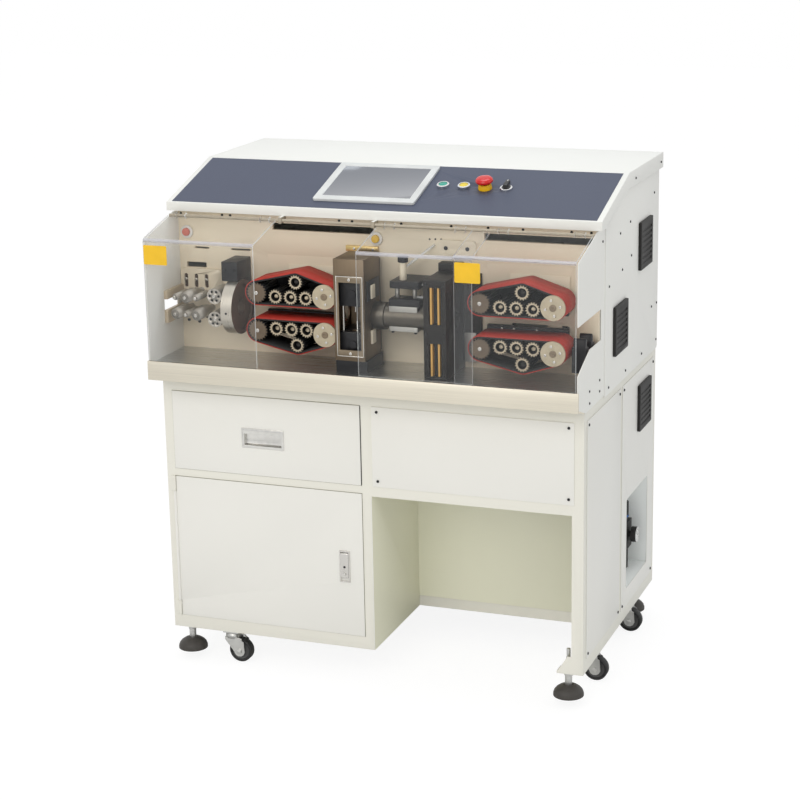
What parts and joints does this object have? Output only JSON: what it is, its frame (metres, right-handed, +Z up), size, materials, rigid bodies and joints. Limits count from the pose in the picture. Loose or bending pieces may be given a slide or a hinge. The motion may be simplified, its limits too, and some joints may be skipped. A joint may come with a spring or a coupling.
{
  "type": "wire cutting stripping machine",
  "caption": "Free-standing wire cutting and stripping machine with belt feeders, a blade head, clear hinged covers, a sloped control panel and a wheeled stand with a drawer and a cabinet.",
  "frame": {"origin": "centre of the bounding box at floor level, on which the castors stand", "axes": "+X to the right along the wire, +Y to the back, +Z up"},
  "size_m": [1.15, 0.794, 1.2871],
  "materials": {
    "frame_paint": "cream powder coat",
    "white_paint": "off-white powder coat",
    "stainless": "brushed",
    "beige_paint": "satin beige",
    "black_metal": "black satin",
    "ground_steel": "ground",
    "black_plastic": "matte",
    "foot_black": "matte",
    "screen_grey": "light grey",
    "overlay_film": "fine texture",
    "bright_metal": "plated",
    "lamp_lens": "lens",
    "green_plastic": "gloss",
    "yellow_plastic": "gloss",
    "red_plastic": "gloss",
    "clear_acrylic": "clear",
    "zinc_steel": "zinc plated",
    "wheel_rubber": "matte",
    "red_belt": "matte red",
    "pulley_steel": "machined"
  },
  "bodies": {
    "machine": {"stand_frame": "frame_paint", "stand_panels": "white_paint", "floor_fittings": "foot_black", "steel_tray": "stainless", "main_plate": "beige_paint", "body_panels": "white_paint", "hood_shell": "white_paint", "fan_guards": "black_plastic", "touch_screen": "screen_grey", "control_overlay": "overlay_film", "button_bezels": "bright_metal", "indicator_lamps": "lamp_lens", "blade_head_box": "stainless", "blade_head_mount": "black_metal", "guide_tube": "ground_steel", "tube_clamp": "black_metal", "guide_ring": "ground_steel", "slide_gantry": "black_metal", "straightener": "ground_steel", "exit_guide": "black_metal", "air_regulator": "black_plastic"},
    "drawer": {"drawer_box": "white_paint", "drawer_pull": "bright_metal"},
    "door": {"cabinet_door": "white_paint"},
    "lock": {"lock_paddle": "bright_metal"},
    "cover_left": {"left_cover": "clear_acrylic"},
    "cover_middle": {"middle_cover": "clear_acrylic"},
    "cover_right": {"right_cover": "clear_acrylic"},
    "button_start": {"start_button": "green_plastic"},
    "button_stop": {"stop_button": "yellow_plastic"},
    "button_emergency": {"emergency_stop": "red_plastic"},
    "selector": {"selector_knob": "black_plastic"},
    "blade_upper": {"upper_blade": "black_metal"},
    "blade_lower": {"lower_blade": "black_metal"},
    "measure_upper": {"upper_measure_roller": "ground_steel"},
    "measure_lower": {"lower_measure_roller": "ground_steel"},
    "left_upper_feeder": {"left_upper_carrier": "black_metal", "left_upper_belt": "red_belt"},
    "left_upper_drive_set": {"left_upper_drive": "pulley_steel"},
    "left_upper_tail_set": {"left_upper_tail": "pulley_steel"},
    "left_lower_feeder": {"left_lower_carrier": "black_metal", "left_lower_belt": "red_belt"},
    "left_lower_drive_set": {"left_lower_drive": "pulley_steel"},
    "left_lower_tail_set": {"left_lower_tail": "pulley_steel"},
    "right_upper_feeder": {"right_upper_carrier": "black_metal", "right_upper_belt": "red_belt"},
    "right_upper_drive_set": {"right_upper_drive": "pulley_steel"},
    "right_upper_tail_set": {"right_upper_tail": "pulley_steel"},
    "right_lower_feeder": {"right_lower_carrier": "black_metal", "right_lower_belt": "red_belt"},
    "right_lower_drive_set": {"right_lower_drive": "pulley_steel"},
    "right_lower_tail_set": {"right_lower_tail": "pulley_steel"},
    "fork_1": {"castor_fork_1": "zinc_steel"},
    "wheel_1": {"castor_wheel_1": "wheel_rubber"},
    "fork_2": {"castor_fork_2": "zinc_steel"},
    "wheel_2": {"castor_wheel_2": "wheel_rubber"},
    "fork_3": {"castor_fork_3": "zinc_steel"},
    "wheel_3": {"castor_wheel_3": "wheel_rubber"},
    "fork_4": {"castor_fork_4": "zinc_steel"},
    "wheel_4": {"castor_wheel_4": "wheel_rubber"}
  },
  "joints": [
    {"name": "drawer_slide", "type": "slide", "parent": "machine", "child": "drawer", "axis": [0, -1, 0], "range_m": [0, 0.26]},
    {"name": "door_hinge", "type": "hinge", "parent": "machine", "child": "door", "pos_m": [-0.5391, -0.3271, 0.313], "axis": [0, 0, -1], "range_deg": [0, 110]},
    {"name": "lock_pivot", "type": "hinge", "parent": "door", "child": "lock", "pos_m": [-0.0665, -0.3285, 0.341], "axis": [-1, 0, 0], "range_deg": [0, 35]},
    {"name": "cover_left_hinge", "type": "hinge", "parent": "machine", "child": "cover_left", "pos_m": [-0.41, -0.241, 1.176], "axis": [-1, 0, 0], "range_deg": [0, 100]},
    {"name": "cover_right_hinge", "type": "hinge", "parent": "machine", "child": "cover_right", "pos_m": [0.41, -0.241, 1.176], "axis": [-1, 0, 0], "range_deg": [0, 100]},
    {"name": "cover_middle_hinge", "type": "hinge", "parent": "machine", "child": "cover_middle", "pos_m": [0.155, -0.241, 1.176], "axis": [-1, 0, 0], "range_deg": [0, 100]},
    {"name": "start_press", "type": "slide", "parent": "machine", "child": "button_start", "axis": [0, 0.2853, -0.9584], "range_m": [0, 0.003], "stiffness_N_per_m": 600, "springref_m": -0.001},
    {"name": "stop_press", "type": "slide", "parent": "machine", "child": "button_stop", "axis": [0, 0.2853, -0.9584], "range_m": [0, 0.003], "stiffness_N_per_m": 600, "springref_m": -0.001},
    {"name": "emergency_press", "type": "slide", "parent": "machine", "child": "button_emergency", "axis": [0, 0.2853, -0.9584], "range_m": [0, 0.004], "stiffness_N_per_m": 900, "springref_m": -0.001},
    {"name": "selector_turn", "type": "hinge", "parent": "machine", "child": "selector", "pos_m": [0.292, -0.08324, 1.2498], "axis": [0, -0.2853, 0.9584], "range_deg": [-45, 45]},
    {"name": "blade_upper_slide", "type": "slide", "parent": "machine", "child": "blade_upper", "axis": [0, 0, -1], "range_m": [0, 0.014]},
    {"name": "blade_lower_slide", "type": "slide", "parent": "machine", "child": "blade_lower", "axis": [0, 0, 1], "range_m": [0, 0.014]},
    {"name": "measure_upper_turn", "type": "hinge", "parent": "machine", "child": "measure_upper", "pos_m": [-0.418, -0.2585, 0.983], "axis": [0, 1, 0], "continuous": true},
    {"name": "measure_lower_turn", "type": "hinge", "parent": "machine", "child": "measure_lower", "pos_m": [-0.418, -0.2585, 0.923], "axis": [0, 1, 0], "continuous": true},
    {"name": "left_upper_slide", "type": "slide", "parent": "machine", "child": "left_upper_feeder", "axis": [0, 0, 1], "range_m": [-0.012, 0.018]},
    {"name": "left_upper_drive_turn", "type": "hinge", "parent": "left_upper_feeder", "child": "left_upper_drive_set", "pos_m": [-0.112, -0.2585, 1.0012], "axis": [0, 1, 0], "continuous": true},
    {"name": "left_upper_tail_turn", "type": "hinge", "parent": "left_upper_feeder", "child": "left_upper_tail_set", "pos_m": [-0.296, -0.2585, 1.0012], "axis": [0, 1, 0], "continuous": true},
    {"name": "left_lower_slide", "type": "slide", "parent": "machine", "child": "left_lower_feeder", "axis": [0, 0, -1], "range_m": [-0.012, 0.018]},
    {"name": "left_lower_drive_turn", "type": "hinge", "parent": "left_lower_feeder", "child": "left_lower_drive_set", "pos_m": [-0.112, -0.2585, 0.9048], "axis": [0, 1, 0], "continuous": true},
    {"name": "left_lower_tail_turn", "type": "hinge", "parent": "left_lower_feeder", "child": "left_lower_tail_set", "pos_m": [-0.296, -0.2585, 0.9048], "axis": [0, 1, 0], "continuous": true},
    {"name": "right_upper_slide", "type": "slide", "parent": "machine", "child": "right_upper_feeder", "axis": [0, 0, 1], "range_m": [-0.012, 0.018]},
    {"name": "right_upper_drive_turn", "type": "hinge", "parent": "right_upper_feeder", "child": "right_upper_drive_set", "pos_m": [0.477, -0.2585, 1.0092], "axis": [0, 1, 0], "continuous": true},
    {"name": "right_upper_tail_turn", "type": "hinge", "parent": "right_upper_feeder", "child": "right_upper_tail_set", "pos_m": [0.293, -0.2585, 1.0092], "axis": [0, 1, 0], "continuous": true},
    {"name": "right_lower_slide", "type": "slide", "parent": "machine", "child": "right_lower_feeder", "axis": [0, 0, -1], "range_m": [-0.012, 0.018]},
    {"name": "right_lower_drive_turn", "type": "hinge", "parent": "right_lower_feeder", "child": "right_lower_drive_set", "pos_m": [0.477, -0.2585, 0.8968], "axis": [0, 1, 0], "continuous": true},
    {"name": "right_lower_tail_turn", "type": "hinge", "parent": "right_lower_feeder", "child": "right_lower_tail_set", "pos_m": [0.293, -0.2585, 0.8968], "axis": [0, 1, 0], "continuous": true},
    {"name": "castor_1_swivel", "type": "hinge", "parent": "machine", "child": "fork_1", "pos_m": [-0.4005, -0.299, 0.074], "axis": [0, 0, 1], "continuous": true},
    {"name": "castor_1_roll", "type": "hinge", "parent": "fork_1", "child": "wheel_1", "pos_m": [-0.3785, -0.299, 0.0315], "axis": [0, 1, 0], "continuous": true},
    {"name": "castor_2_swivel", "type": "hinge", "parent": "machine", "child": "fork_2", "pos_m": [0.5215, -0.1325, 0.074], "axis": [0, 0, 1], "continuous": true},
    {"name": "castor_2_roll", "type": "hinge", "parent": "fork_2", "child": "wheel_2", "pos_m": [0.5435, -0.1325, 0.0315], "axis": [0, 1, 0], "continuous": true},
    {"name": "castor_3_swivel", "type": "hinge", "parent": "machine", "child": "fork_3", "pos_m": [-0.4005, 0.371, 0.074], "axis": [0, 0, 1], "continuous": true},
    {"name": "castor_3_roll", "type": "hinge", "parent": "fork_3", "child": "wheel_3", "pos_m": [-0.3785, 0.371, 0.0315], "axis": [0, 1, 0], "continuous": true},
    {"name": "castor_4_swivel", "type": "hinge", "parent": "machine", "child": "fork_4", "pos_m": [0.5215, 0.222, 0.074], "axis": [0, 0, 1], "continuous": true},
    {"name": "castor_4_roll", "type": "hinge", "parent": "fork_4", "child": "wheel_4", "pos_m": [0.5435, 0.222, 0.0315], "axis": [0, 1, 0], "continuous": true}
  ],
  "couplings": [
    {"joint": "cover_middle_hinge", "follows": "cover_right_hinge", "ratio": 1},
    {"joint": "blade_lower_slide", "follows": "blade_upper_slide", "ratio": 1},
    {"joint": "measure_lower_turn", "follows": "measure_upper_turn", "ratio": -1},
    {"joint": "left_lower_slide", "follows": "left_upper_slide", "ratio": 1},
    {"joint": "left_upper_tail_turn", "follows": "left_upper_drive_turn", "ratio": 1},
    {"joint": "left_lower_drive_turn", "follows": "left_upper_drive_turn", "ratio": -1},
    {"joint": "left_lower_tail_turn", "follows": "left_upper_drive_turn", "ratio": -1},
    {"joint": "right_lower_slide", "follows": "right_upper_slide", "ratio": 1},
    {"joint": "right_upper_tail_turn", "follows": "right_upper_drive_turn", "ratio": 1},
    {"joint": "right_lower_drive_turn", "follows": "right_upper_drive_turn", "ratio": -1},
    {"joint": "right_lower_tail_turn", "follows": "right_upper_drive_turn", "ratio": -1}
  ]
}
